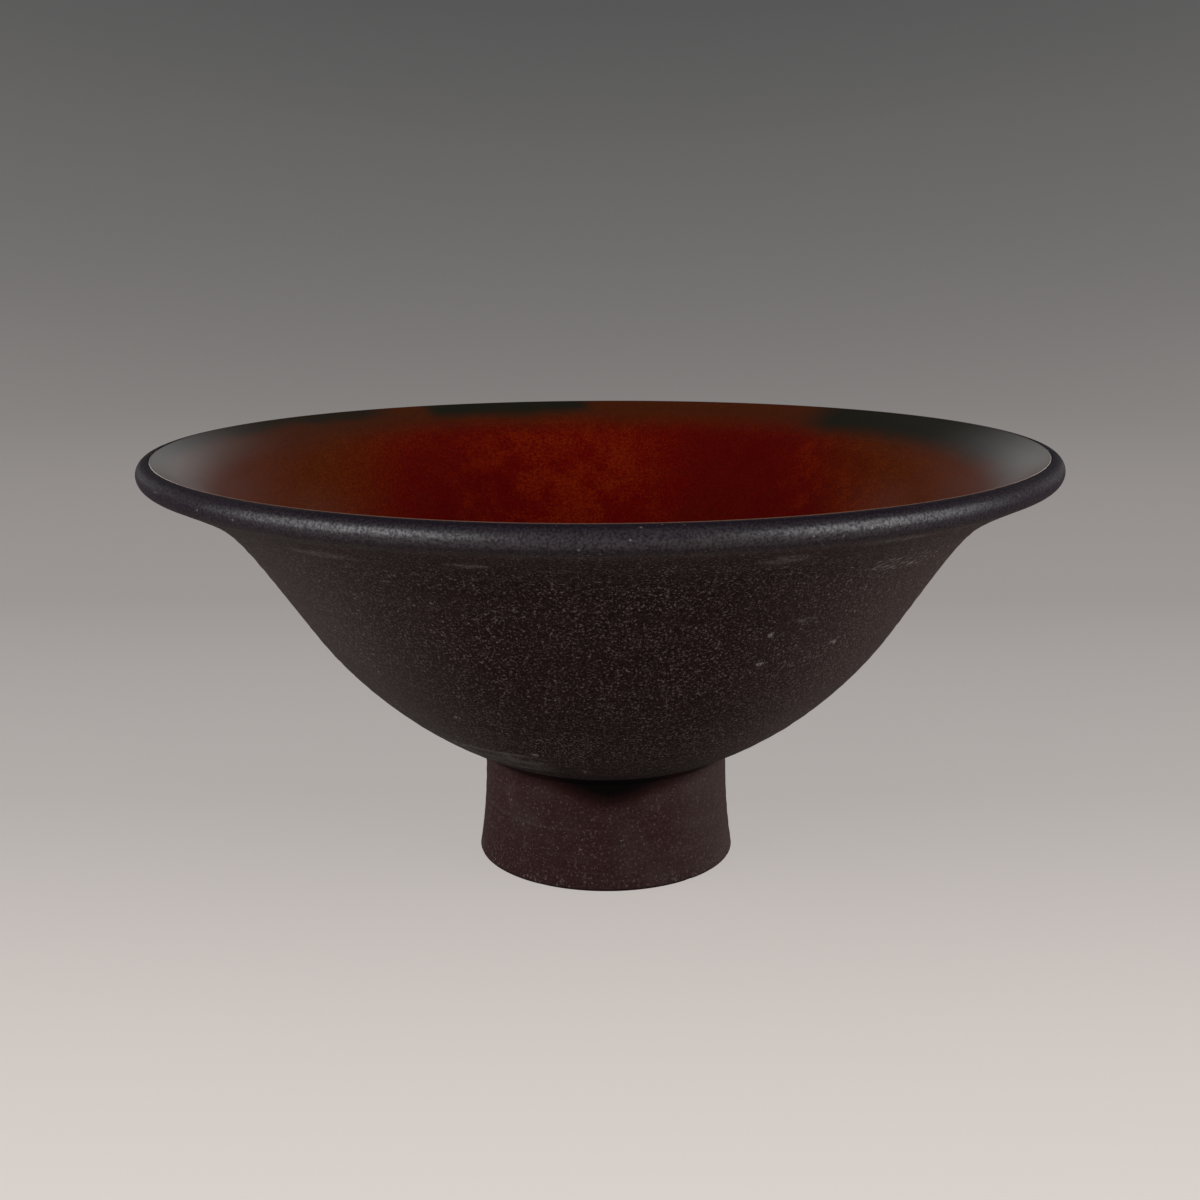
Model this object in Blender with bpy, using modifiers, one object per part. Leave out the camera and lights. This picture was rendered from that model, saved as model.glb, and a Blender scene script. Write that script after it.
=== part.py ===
"""A footed stoneware bowl, put together the way a potter does it.

The bowl is thrown with a rolled rim and an ogee wall, the foot ring is thrown apart and luted on with a bed of
slip, and the glaze is a coat of its own inside the bowl. Every piece is turned about Z.
Metres, +Z up, with the origin at the middle of the foot's resting face.
"""

import math

import bpy
import numpy as np

# Rim
RIM_RADIUS = 0.1300  # to the outermost point of the rolled rim
HEIGHT = 0.1230  # from the table to the crest of the rim
RIM_ROLL_RADIUS = 0.0034
LIP_SLOPE = math.radians(25.0)  # of the wall where it enters the roll
GLAZE_SETBACK = 0.0004  # from the crest of the roll back to where the bare clay meets the glaze

# Wall outline, from the axis to the waist, which is its steepest point, and on to the lip
UNDERSIDE_HEIGHT = 0.0250  # of the bowl's underside on the axis
WAIST_RADIUS = 0.0853
WAIST_HEIGHT = 0.0733
WAIST_SLOPE = math.radians(56.0)
FLOOR_THICKNESS = 0.0080

# How far each end of a cubic arc runs straight on, as a share of the arc's chord
FLOOR_FULLNESS = 0.383
BELLY_FULLNESS = 0.287
FLARE_FULLNESS = 0.662
LIP_FULLNESS = 0.407

# Foot ring
FOOT_BASE_RADIUS = 0.0385
FOOT_TOP_RADIUS = 0.0363
FOOT_WALL = 0.0085  # at the top, under the bowl
FOOT_RING_WIDTH = 0.0080  # of the face that it rests on, edges included
FOOT_EDGE_RADIUS = 0.0007
FOOT_FLARE_POWER = 2.3  # the foot spreads with this power of the way down

# Coats and joints
SLIP_THICKNESS = 0.0008
SLIP_BEAD = 0.0004  # slip pressed out past the foot's two faces
GLAZE_AT_LIP = 0.0006
GLAZE_AT_FLOOR = 0.0012  # the glaze runs down and gathers
SEAT_GAP = 0.0003  # between pieces that lie on one another

# Fineness of the turned meshes
SEGMENTS = 64
ARC_STEPS = 8  # of each cubic arc of the wall
ROLL_STEPS = 4  # from the crest of the rim to its outermost point, and from there to the wall
EDGE_STEPS = 2
FOOT_STEPS = 6
SEAT_STEPS = 4
FINE_STEPS = 60  # of the outline that seats are read from
MERGE_DISTANCE = 0.00002

ROLL_CENTRE = np.array([RIM_RADIUS - RIM_ROLL_RADIUS, HEIGHT - RIM_ROLL_RADIUS])
WALL_AT_LIP = 2 * RIM_ROLL_RADIUS - GLAZE_AT_LIP - SEAT_GAP
GLAZE_LINE = math.pi / 2 + GLAZE_SETBACK / RIM_ROLL_RADIUS  # as an angle round the roll
UNDER_LIP = LIP_SLOPE - math.pi / 2  # where the outside leaves the roll
OVER_LIP = LIP_SLOPE + math.pi / 2  # where the inside leaves it


def towards(angle):
    """Unit (radius, height) vectors at these angles above the level."""
    return np.stack([np.cos(angle), np.sin(angle)], axis=-1)


def arc(centre, radius, start, stop, steps):
    """Points round a circle in the (radius, height) plane, both ends included."""
    return centre + radius * towards(np.linspace(start, stop, steps + 1))


def cubic_arc(start, start_slope, start_fullness, end, end_slope, end_fullness, steps):
    """Points and unit tangents of a cubic arc with these slopes at its ends."""
    chord = np.linalg.norm(end - start)
    near = start + start_fullness * chord * towards(start_slope)
    far = end - end_fullness * chord * towards(end_slope)
    t = np.linspace(0.0, 1.0, steps + 1)[:, None]
    points = (1 - t) ** 3 * start + 3 * (1 - t) ** 2 * t * near + 3 * (1 - t) * t**2 * far + t**3 * end
    along = (1 - t) ** 2 * (near - start) + 2 * (1 - t) * t * (far - near) + t**2 * (end - far)
    return points, along / np.linalg.norm(along, axis=1, keepdims=True)


def wall_outline(steps):
    """The bowl's outside from the axis to the lip: points, and the normals that point into the bowl."""
    middle = np.array([0.0, UNDERSIDE_HEIGHT])
    waist = np.array([WAIST_RADIUS, WAIST_HEIGHT])
    lip = ROLL_CENTRE + RIM_ROLL_RADIUS * towards(UNDER_LIP)
    belly, belly_along = cubic_arc(middle, 0.0, FLOOR_FULLNESS, waist, WAIST_SLOPE, BELLY_FULLNESS, steps)
    flare, flare_along = cubic_arc(waist, WAIST_SLOPE, FLARE_FULLNESS, lip, LIP_SLOPE, LIP_FULLNESS, steps)
    points = np.concatenate([belly, flare[1:]])
    along = np.concatenate([belly_along, flare_along[1:]])
    return points, np.stack([-along[:, 1], along[:, 0]], axis=1)


def from_floor_to_lip(points, at_floor, at_lip):
    """A thickness that changes evenly along the wall's length."""
    lengths = np.linalg.norm(np.diff(points, axis=0), axis=1)
    share = np.concatenate([[0.0], np.cumsum(lengths)]) / lengths.sum()
    return (at_floor + (at_lip - at_floor) * share)[:, None]


def bowl_profile():
    """Up the inside from the axis, over the rolled rim with its recess for the glaze, and down the outside."""
    outside, inward = wall_outline(ARC_STEPS)
    inside = outside + inward * from_floor_to_lip(outside, FLOOR_THICKNESS, WALL_AT_LIP)
    recess_radius = RIM_ROLL_RADIUS - GLAZE_AT_LIP - SEAT_GAP
    recess = arc(ROLL_CENTRE, recess_radius, OVER_LIP, GLAZE_LINE, EDGE_STEPS)
    clay_edge = ROLL_CENTRE + RIM_ROLL_RADIUS * towards(GLAZE_LINE)
    over = arc(ROLL_CENTRE, RIM_ROLL_RADIUS, math.pi / 2, 0.0, ROLL_STEPS)
    under = arc(ROLL_CENTRE, RIM_ROLL_RADIUS, 0.0, UNDER_LIP, ROLL_STEPS)
    return np.concatenate([inside, recess[1:], [clay_edge], over, under[1:], outside[-2::-1]])


def glaze_profile():
    """Up the face of the glaze from the axis to its edge on the rim, and back down against the clay."""
    outside, inward = wall_outline(ARC_STEPS)
    clay = from_floor_to_lip(outside, FLOOR_THICKNESS, WALL_AT_LIP) + SEAT_GAP
    back = outside + inward * clay
    face = back + inward * from_floor_to_lip(outside, GLAZE_AT_FLOOR, GLAZE_AT_LIP)
    edge_angle = GLAZE_LINE + SEAT_GAP / RIM_ROLL_RADIUS
    face_edge = arc(ROLL_CENTRE, RIM_ROLL_RADIUS, OVER_LIP, edge_angle, EDGE_STEPS)
    back_edge = arc(ROLL_CENTRE, RIM_ROLL_RADIUS - GLAZE_AT_LIP, edge_angle, OVER_LIP, EDGE_STEPS)
    return np.concatenate([face, face_edge[1:], back_edge, back[-2::-1]])


def below_bowl(radius, depth):
    """Points at these radii on a surface that lies this deep under the bowl's outside, square to it."""
    outside, inward = wall_outline(FINE_STEPS)
    surface = outside - inward * depth
    return np.stack([radius, np.interp(radius, surface[:, 0], surface[:, 1])], axis=-1)


def slip_profile():
    """The bed of slip between bowl and foot, out to a small bead on both faces of the foot."""
    inner = FOOT_TOP_RADIUS - FOOT_WALL - SLIP_BEAD
    radii = np.linspace(inner, FOOT_TOP_RADIUS + SLIP_BEAD, SEAT_STEPS + 1)
    on_bowl = below_bowl(radii, SEAT_GAP)
    on_foot = below_bowl(radii, SEAT_GAP + SLIP_THICKNESS)
    return np.concatenate([on_bowl, on_foot[::-1]])


def foot_profile():
    """Down the foot's flared outside, across the resting face, up inside and back along the bowl's underside."""
    radii = np.linspace(FOOT_TOP_RADIUS - FOOT_WALL, FOOT_TOP_RADIUS, SEAT_STEPS + 1)
    top = below_bowl(radii, SEAT_GAP + SLIP_THICKNESS + SEAT_GAP)
    down = np.linspace(0.0, 1.0, FOOT_STEPS + 1)
    spread = (FOOT_BASE_RADIUS - FOOT_TOP_RADIUS) * down**FOOT_FLARE_POWER
    outside = np.stack([FOOT_TOP_RADIUS + spread, top[-1, 1] + (FOOT_EDGE_RADIUS - top[-1, 1]) * down], axis=1)
    outer_edge = np.array([FOOT_BASE_RADIUS - FOOT_EDGE_RADIUS, FOOT_EDGE_RADIUS])
    inner_edge = np.array([FOOT_BASE_RADIUS - FOOT_RING_WIDTH + FOOT_EDGE_RADIUS, FOOT_EDGE_RADIUS])
    outer = arc(outer_edge, FOOT_EDGE_RADIUS, 0.0, -math.pi / 2, EDGE_STEPS)
    inner = arc(inner_edge, FOOT_EDGE_RADIUS, -math.pi / 2, -math.pi, EDGE_STEPS)
    return np.concatenate([outside, outer[1:], inner, top[:-1]])


def finish(name, colour, roughness):
    """A Principled material with a linear colour."""
    material = bpy.data.materials.new(name)
    material.use_nodes = True
    shader = material.node_tree.nodes["Principled BSDF"]
    shader.inputs["Base Color"].default_value = (*colour, 1.0)
    shader.inputs["Roughness"].default_value = roughness
    shader.inputs["Metallic"].default_value = 0.0
    return material


def turned(name, profile, is_ring, material, collection, parent):
    """A solid turned about Z from a profile that runs down its outer side. A ring's profile closes on itself."""
    points = [(radius, 0.0, height) for radius, height in profile.tolist()]
    edges = [(i, i + 1) for i in range(len(points) - 1)]
    if is_ring:
        edges.append((len(points) - 1, 0))
    mesh = bpy.data.meshes.new(name)
    mesh.from_pydata(points, edges, [])
    mesh.materials.append(material)
    obj = bpy.data.objects.new(name, mesh)
    collection.objects.link(obj)
    obj.parent = parent
    turn = obj.modifiers.new("Turn", "SCREW")
    turn.axis = "Z"
    turn.angle = 2 * math.pi
    turn.steps = SEGMENTS
    turn.render_steps = SEGMENTS
    turn.use_merge_vertices = True
    turn.merge_threshold = MERGE_DISTANCE
    turn.use_smooth_shade = True
    shading = obj.modifiers.new("Even shading", "WEIGHTED_NORMAL")
    shading.keep_sharp = True
    return obj


def main():
    for obj in list(bpy.data.objects):
        bpy.data.objects.remove(obj)
    collection = bpy.data.collections.new("footed_bowl")
    bpy.context.scene.collection.children.link(collection)
    base = bpy.data.objects.new("foot_centre", None)
    collection.objects.link(base)
    stoneware = finish("dark_stoneware", (0.030, 0.023, 0.022), 0.75)
    foot_clay = finish("foot_stoneware", (0.036, 0.024, 0.021), 0.80)
    slip = finish("luting_slip", (0.045, 0.038, 0.036), 0.85)
    glaze = finish("iron_red_glaze", (0.105, 0.014, 0.003), 0.28)
    turned("bowl_body", bowl_profile(), False, stoneware, collection, base)
    turned("foot_ring", foot_profile(), True, foot_clay, collection, base)
    turned("luting_slip", slip_profile(), True, slip, collection, base)
    turned("glaze_lining", glaze_profile(), False, glaze, collection, base)


main()
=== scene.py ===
"""Dresses a footed stoneware bowl: thrown clay, a luted foot and an iron-red glaze, on a plain studio sweep.

Laid out as an add-on with one operator for each piece and one for the stage. Metres, +Z up, with the bowl's
axis on Z and the table at height 0. The camera stands in front, towards -Y. A bearing is an angle round the
axis from the front, positive to the right.
"""

import math

import bpy
import numpy as np
from bpy.props import FloatProperty, FloatVectorProperty, IntProperty, PointerProperty
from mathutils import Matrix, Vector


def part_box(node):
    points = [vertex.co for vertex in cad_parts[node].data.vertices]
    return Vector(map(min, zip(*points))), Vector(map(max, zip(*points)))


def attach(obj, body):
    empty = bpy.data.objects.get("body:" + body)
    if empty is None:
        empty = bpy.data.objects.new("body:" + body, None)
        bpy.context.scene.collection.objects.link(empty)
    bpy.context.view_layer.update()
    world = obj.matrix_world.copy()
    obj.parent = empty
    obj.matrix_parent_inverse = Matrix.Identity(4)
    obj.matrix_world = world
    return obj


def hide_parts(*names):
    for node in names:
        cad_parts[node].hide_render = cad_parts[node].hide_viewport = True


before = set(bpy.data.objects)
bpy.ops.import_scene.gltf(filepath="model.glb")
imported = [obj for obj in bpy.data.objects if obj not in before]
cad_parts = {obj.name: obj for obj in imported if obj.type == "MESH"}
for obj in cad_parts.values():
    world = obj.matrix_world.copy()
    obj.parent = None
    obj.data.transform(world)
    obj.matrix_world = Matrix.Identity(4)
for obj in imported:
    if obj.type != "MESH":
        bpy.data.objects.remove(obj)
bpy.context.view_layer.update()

bl_info = {
    "name": "Footed Stoneware Bowl",
    "version": (1, 0, 0),
    "blender": (4, 5, 0),
    "location": "View3D > Sidebar > Bowl",
    "description": "Throws a footed stoneware bowl and lines it with a mottled iron-red glaze",
    "category": "Add Mesh",
}

BODY = "root"
FULL_TURN = 2 * math.pi
MILLIMETRE = 0.001


# Settings

def length(name, description, default):
    """A size in metres."""
    return FloatProperty(name=name, description=description, default=default, precision=5, unit="LENGTH")


def angle(name, description, degrees):
    """An angle, given in degrees and kept in radians."""
    return FloatProperty(name=name, description=description, default=math.radians(degrees), subtype="ANGLE")


def share(name, description, default):
    """A plain number, such as a share of a length or a strength."""
    return FloatProperty(name=name, description=description, default=default, precision=4)


def power(name, description, watts):
    """The power of a light."""
    return FloatProperty(name=name, description=description, default=watts, unit="POWER")


def colour(name, description, default):
    """A linear colour."""
    return FloatVectorProperty(name=name, description=description, default=default, size=3, subtype="COLOR")


class BowlForm(bpy.types.PropertyGroup):
    """Sizes of the thrown bowl."""

    rim_radius: length("Rim radius", "To the outermost point of the rolled rim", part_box("bowl_body")[1].x)
    height: length("Height", "From the table to the crest of the rim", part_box("bowl_body")[1].z)
    roll_radius: length("Roll radius", "Half the thickness of the rolled rim", 0.0034)
    lip_slope: angle("Lip slope", "Slope of the wall where it enters the roll", 25.0)
    underside: length("Underside", "Height of the bowl's underside on the axis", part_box("bowl_body")[0].z)
    waist_radius: length("Waist radius", "Radius at the wall's steepest point", 0.0853)
    waist_height: length("Waist height", "Height of the wall's steepest point", 0.0733)
    waist_slope: angle("Waist slope", "Slope of the wall at its steepest point", 56.0)
    floor_thickness: length("Floor thickness", "Clay at the middle of the floor", 0.0080)
    floor_fullness: share("Floor fullness", "How far the underside runs on level", 0.383)
    belly_fullness: share("Belly fullness", "How far the belly runs straight into the waist", 0.287)
    flare_fullness: share("Flare fullness", "How far the waist runs straight into the flare", 0.662)
    lip_fullness: share("Lip fullness", "How far the flare runs straight into the lip", 0.407)
    glaze_setback: length("Glaze setback", "From the crest of the roll back to the glaze", 0.0004)
    glaze_at_lip: length("Glaze at the lip", "Thickness of the glaze at the lip", 0.0006)
    glaze_at_floor: length("Glaze on the floor", "Thickness of the glaze on the floor", 0.0012)
    glaze_edge: length("Glaze edge", "How far the glaze's edge stands proud of the bare clay", 0.00012)


class FootForm(bpy.types.PropertyGroup):
    """Sizes of the foot ring and of the slip that holds it."""

    base_radius: length("Base radius", "Outside of the foot where it rests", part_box("foot_ring")[1].x)
    top_radius: length("Top radius", "Outside of the foot under the bowl", 0.0363)
    wall: length("Wall", "Thickness of the foot under the bowl", 0.0085)
    ring_width: length("Ring width", "Width of the resting face, edges included", 0.0080)
    edge_radius: length("Edge radius", "Rounding of the foot's lower edges", 0.0007)
    flare_power: share("Flare power", "The foot spreads with this power of the way down", 2.3)
    slip_thickness: length("Slip thickness", "Bed of slip between bowl and foot", 0.0010)
    slip_bead: length("Slip bead", "Slip smeared into the corners on both faces of the foot", 0.0008)
    slip_key: length("Slip key", "How far the slip soaks into bowl and foot", 0.0001)


class HandMarks(bpy.types.PropertyGroup):
    """What the wheel and the hand leave behind."""

    rim_shift: length("Rim shift", "How far the rim's middle lies to the left of the foot's", 0.0020)
    tilt_side: angle("Sideways tilt", "How much higher the rim stands on the right", 0.277)
    tilt_back: angle("Backward tilt", "How much higher the rim stands at the back", 0.145)
    warp: length("Warp", "How far the rim rises at both sides and dips at front and back", 0.0003)
    out_of_round: length("Out of round", "How far the wall strays from a true circle", 0.00022)
    line_pitch: length("Line pitch", "Rise of the throwing spiral in one turn", 0.0047)
    line_depth: length("Line depth", "Depth of the throwing lines", 0.00006)
    ridge_radius: length("Ridge radius", "Radius where the turning tool stopped under the belly", 0.0600)
    ridge_height: length("Ridge height", "Height of the ridge that it left", 0.00022)
    nicks: IntProperty(name="Nicks", description="Small chips along the foot's lower edge", default=14)
    seed: IntProperty(name="Seed", description="Seed of all that is left to chance", default=11)


class ClayColours(bpy.types.PropertyGroup):
    """Colours of the bare clay."""

    wall: colour("Wall", "Brown-black stoneware", (0.0140, 0.0061, 0.0057))
    # Pit is also the painted shade low on the belly, towards the foot
    pit_and_painted_shade: colour("Pit", "Dark gaps between the grains", (0.0036, 0.0013, 0.0013))
    # Grain also paints sheen on the wall's right side
    grain_and_painted_sheen: colour("Grain", "Sandy grains of the stoneware", (0.1450, 0.1090, 0.0990))
    sand: colour("Sand", "Scattered pale grains", (0.1500, 0.1320, 0.1200))
    # Dust also paints sheen on the wall's left side and light on the foot's right side
    dust_and_painted_light: colour("Dust", "Pale scuffs and fired dust", (0.0850, 0.0740, 0.0680))
    rim: colour("Rim", "Purple-black of the bare rim", (0.0066, 0.0036, 0.0072))
    foot: colour("Foot", "Browner clay of the turned foot", (0.0213, 0.0089, 0.0085))
    slip: colour("Slip", "Brown-black luting slip", (0.0130, 0.0062, 0.0058))
    # Painted shadow: the shadow the belly casts over the joint in front, and its dark red edge
    painted_shadow: colour("Stain", "Black stain in front, where bowl and foot meet", (0.0008, 0.0002, 0.0002))
    painted_shadow_edge: colour("Stain edge", "Dark red round that stain", (0.0085, 0.0013, 0.0011))


class GlazeColours(bpy.types.PropertyGroup):
    """Colours of the glaze."""

    red: colour("Red", "Deep iron red", (0.0800, 0.0004, 0.0001))
    fleck: colour("Fleck", "Orange-brown flecks", (0.1220, 0.0080, 0.0004))
    pool: colour("Pool", "Dark red where the glaze gathers", (0.0330, 0.0012, 0.0008))
    olive: colour("Olive", "Olive brown towards the rim", (0.0380, 0.0105, 0.0012))
    # Rust is partly painted sheen: the brown at both sides also stands in for the sheen there
    rust_and_painted_sheen: colour("Rust", "Rust brown at both sides", (0.0560, 0.0160, 0.0012))
    black: colour("Black", "Green-black where the glaze is thin", (0.0065, 0.0075, 0.0045))
    edge: colour("Edge", "Tan line where the glaze ends", (0.1500, 0.0820, 0.0580))


class StageForm(bpy.types.PropertyGroup):
    """The sweep, the lights and the camera."""

    sweep_start: length("Sweep start", "Where the table starts to curve up", 1.2)
    sweep_radius: length("Sweep radius", "Radius of that curve", 1.2)
    sweep_height: length("Sweep height", "Top of the sweep", 2.4)
    even_tone: share("Even tone", "How much of the sweep's tone does not hang on the light", 0.88)
    side_power: power("Side power", "Power of each side light", 16.0)
    front_power: power("Front power", "Power of the front light", 0.6)
    back_power: power("Back power", "Power of the light straight behind", 2.0)
    corner_power: power("Corner power", "Power of the two lights in the back corners", 4.0)
    top_power: power("Top power", "Power of the light overhead", 1.0)
    world: share("World", "Strength of the even light from all round", 0.25)
    eye: FloatVectorProperty(
        name="Eye",
        description="Where the camera stands",
        default=(-0.00185, -0.44156, 0.17965),
        subtype="TRANSLATION",
    )
    pitch: angle("Pitch", "How far the camera looks down", 13.156)
    lens: share("Lens", "Focal length in millimetres on a 36 mm sensor", 45.637)


class BowlSettings(bpy.types.PropertyGroup):
    """Everything a user would change."""

    form: PointerProperty(type=BowlForm)
    foot: PointerProperty(type=FootForm)
    marks: PointerProperty(type=HandMarks)
    clay: PointerProperty(type=ClayColours)
    glaze: PointerProperty(type=GlazeColours)
    stage: PointerProperty(type=StageForm)


# Lines in the (radius, height) plane

WALL_POINTS = 150
GLAZE_POINTS = 130
FOOT_POINTS = 64
ROLL_POINTS = 22
HIDDEN_POINTS = 16  # where one piece covers another
EDGE_POINTS = 8
FINE_STEPS = 400  # of a curve, before its points are spaced evenly


def towards(turned):
    """Unit (radius, height) vectors at these angles above the level."""
    return np.stack([np.cos(turned), np.sin(turned)], axis=-1)


def arc(centre, radius, start, stop, count):
    """Points round a circle: centre + radius * (cos, sin) of an angle that runs evenly from start to stop."""
    return centre + radius * towards(np.linspace(start, stop, count))


def cubic_arc(start, start_slope, start_fullness, end, end_slope, end_fullness):
    """A cubic Bezier curve whose ends run straight on for a share of its chord, with those slopes."""
    chord = np.linalg.norm(end - start)
    near = start + start_fullness * chord * towards(start_slope)
    far = end - end_fullness * chord * towards(end_slope)
    t = np.linspace(0.0, 1.0, FINE_STEPS)[:, None]
    return (1 - t) ** 3 * start + 3 * (1 - t) ** 2 * t * near + 3 * (1 - t) * t**2 * far + t**3 * end


def distances(line):
    """Distance along a line to each of its points."""
    return np.concatenate([[0.0], np.cumsum(np.linalg.norm(np.diff(line, axis=0), axis=1))])


def evenly(line, count):
    """The same line with its points at even distances."""
    along = distances(line)
    stops = np.linspace(0.0, along[-1], count)
    return np.stack([np.interp(stops, along, line[:, k]) for k in range(2)], axis=1)


def left_of(line):
    """Unit normals that lie to the left of a line's direction: the tangent turned a quarter turn."""
    along = np.gradient(line, axis=0)
    normal = np.stack([-along[:, 1], along[:, 0]], axis=1)
    return normal / np.linalg.norm(normal, axis=1, keepdims=True)


def roll_centre(form):
    """Middle of the rolled rim."""
    return np.array([form.rim_radius - form.roll_radius, form.height - form.roll_radius])


def under_lip(form):
    """Angle round the roll at which the outside leaves it."""
    return form.lip_slope - math.pi / 2


def over_lip(form):
    """Angle round the roll at which the inside leaves it."""
    return form.lip_slope + math.pi / 2


def glaze_line(form):
    """Angle round the roll at which the bare clay gives way to the glaze."""
    return math.pi / 2 + form.glaze_setback / form.roll_radius


def outside_line(form, count):
    """The outside from axis to lip: two cubic arcs that meet at the waist, where the wall is steepest."""
    middle = np.array([0.0, form.underside])
    waist = np.array([form.waist_radius, form.waist_height])
    lip = roll_centre(form) + form.roll_radius * towards(under_lip(form))
    belly = cubic_arc(middle, 0.0, form.floor_fullness, waist, form.waist_slope, form.belly_fullness)
    flare = cubic_arc(waist, form.waist_slope, form.flare_fullness, lip, form.lip_slope, form.lip_fullness)
    return evenly(np.concatenate([belly, flare[1:]]), count)


def inside_line(form, count, at_floor, at_lip):
    """The outside moved into the bowl by a thickness that changes evenly from floor to lip."""
    outside = outside_line(form, count)
    thickness = np.linspace(at_floor, at_lip, count)[:, None]
    return outside + left_of(outside) * thickness


def clay_under_glaze(form):
    """The inside of the clay, which the glaze covers."""
    return inside_line(form, HIDDEN_POINTS, form.floor_thickness, 2 * form.roll_radius - form.glaze_at_lip)


def bowl_line(form):
    """From the axis up under the glaze, over the roll and down the outside to the axis again.

    Also gives the distance of each point past the glaze line, which is negative under the glaze.
    """
    inside = clay_under_glaze(form)
    centre = roll_centre(form)
    recess_radius = form.roll_radius - form.glaze_at_lip
    recess = arc(centre, recess_radius, over_lip(form), glaze_line(form), EDGE_POINTS)
    roll = arc(centre, form.roll_radius, glaze_line(form), under_lip(form), ROLL_POINTS)
    outside = outside_line(form, WALL_POINTS)[::-1]
    line = np.concatenate([inside[:-1], recess, roll, outside[1:]])
    past = distances(line)
    return line, past - past[len(inside) - 1 + len(recess)]


def coat_line(form):
    """Up the face of the glaze from the axis, round its bead on the roll, and back down against the clay.

    Also gives each point's distance from the glaze's edge. The bead is a half round as thick as the coat.
    """
    back = clay_under_glaze(form)
    at_floor = form.floor_thickness + form.glaze_at_floor
    face = inside_line(form, GLAZE_POINTS, at_floor, 2 * form.roll_radius)
    centre = roll_centre(form)
    bead = (form.glaze_at_lip + form.glaze_edge) / 2
    last = glaze_line(form) + bead / form.roll_radius
    turning = np.linspace(over_lip(form), last, ROLL_POINTS)
    swelling = form.glaze_edge * np.linspace(0.0, 1.0, ROLL_POINTS) ** 2
    lip = centre + (form.roll_radius + swelling)[:, None] * towards(turning)
    bead_centre = centre + (form.roll_radius + form.glaze_edge - bead) * towards(np.array(last))
    edge = arc(bead_centre, bead, last, last - math.pi, EDGE_POINTS)
    under = arc(centre, form.roll_radius - form.glaze_at_lip, last, over_lip(form), EDGE_POINTS)
    line = np.concatenate([face, lip[1:], edge[1:], under[1:], back[-2::-1]])
    past = distances(line)
    return line, past[len(face) + len(lip) - 1 + EDGE_POINTS // 2] - past


def under_bowl(form, radius, depth):
    """Heights at these radii of a surface that lies this deep under the bowl's outside, square to it."""
    outside = outside_line(form, FINE_STEPS)
    surface = outside - left_of(outside) * depth
    return np.interp(radius, surface[:, 0], surface[:, 1])


def fillet(corner_radius, height, reach):
    """A hollow quarter round from bowl to foot, with this signed reach away from the foot's face."""
    turned = np.linspace(0.0, math.pi / 2, EDGE_POINTS)
    radii = corner_radius + reach * (1 - np.sin(turned))
    return np.stack([radii, height + abs(reach) * (np.cos(turned) - 1)], axis=1)


def slip_line(form, foot):
    """The bed of slip: along the bowl, down a hollow fillet, back along the foot and up the inner fillet."""
    inner = foot.top_radius - foot.wall + foot.slip_key
    outer = foot.top_radius - foot.slip_key
    radii = np.linspace(inner - foot.slip_bead, outer + foot.slip_bead, 2 * EDGE_POINTS)
    on_bowl = np.stack([radii, under_bowl(form, radii, -foot.slip_key)], axis=1)
    outside = fillet(outer, on_bowl[-1, 1], foot.slip_bead + foot.slip_thickness)
    inside = fillet(inner, on_bowl[0, 1], -foot.slip_bead - foot.slip_thickness)
    outside[:, 0] = np.minimum(outside[:, 0], radii[-1])
    inside[:, 0] = np.maximum(inside[:, 0], radii[0])
    line = np.concatenate([on_bowl, outside[1:], inside[:0:-1]])
    return line, distances(line)


def foot_line(form, foot):
    """Down the foot's flared outside, round the resting face, up inside and back along the slip."""
    top_edge = under_bowl(form, foot.top_radius, foot.slip_thickness)
    down = np.linspace(0.0, 1.0, FOOT_POINTS)
    spread = (foot.base_radius - foot.top_radius) * down**foot.flare_power
    heights = top_edge + (foot.edge_radius - top_edge) * down
    outside = np.stack([foot.top_radius + spread, heights], axis=1)
    outer_edge = np.array([foot.base_radius - foot.edge_radius, foot.edge_radius])
    inner_edge = np.array([foot.base_radius - foot.ring_width + foot.edge_radius, foot.edge_radius])
    outer = arc(outer_edge, foot.edge_radius, 0.0, -math.pi / 2, EDGE_POINTS)
    inner = arc(inner_edge, foot.edge_radius, -math.pi / 2, -math.pi, EDGE_POINTS)
    bore_radius = foot.top_radius - foot.wall
    bore_top = np.array([bore_radius, under_bowl(form, bore_radius, foot.slip_thickness)])
    bore = np.linspace(inner[-1], bore_top, HIDDEN_POINTS)
    radii = np.linspace(bore_radius, foot.top_radius, EDGE_POINTS)
    seat = np.stack([radii, under_bowl(form, radii, foot.slip_thickness)], axis=1)
    line = np.concatenate([outside, outer[1:], inner, bore[1:], seat[1:-1]])
    return line, distances(line)


# Surfaces turned about the axis

BOWL_TURNS = 448
FOOT_TURNS = 320
SWEEP_TURNS = 160
FINE_PITCH = 0.41  # of the finer throwing lines, in pitches of the coarse ones
SWELL_PITCH = 8.3  # over which the lines swell and fade


def columns(turns):
    """Angles round the axis of a grid's columns, with the seam at the back."""
    return np.arange(turns) / turns * FULL_TURN + math.pi / 2


def bearings(column):
    """Bearings of a grid's columns, within half a turn to either side."""
    return (column + math.pi / 2 + math.pi) % FULL_TURN - math.pi


def bell(values, centre, width):
    """A bell curve: e to the minus square of the distance over the width."""
    return np.exp(-(((values - centre) / width) ** 2))


def grown(values, start, fade):
    """0 up to a start, then an even rise to 1 over a fade."""
    return np.clip((values - start) / fade, 0.0, 1.0)


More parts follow.
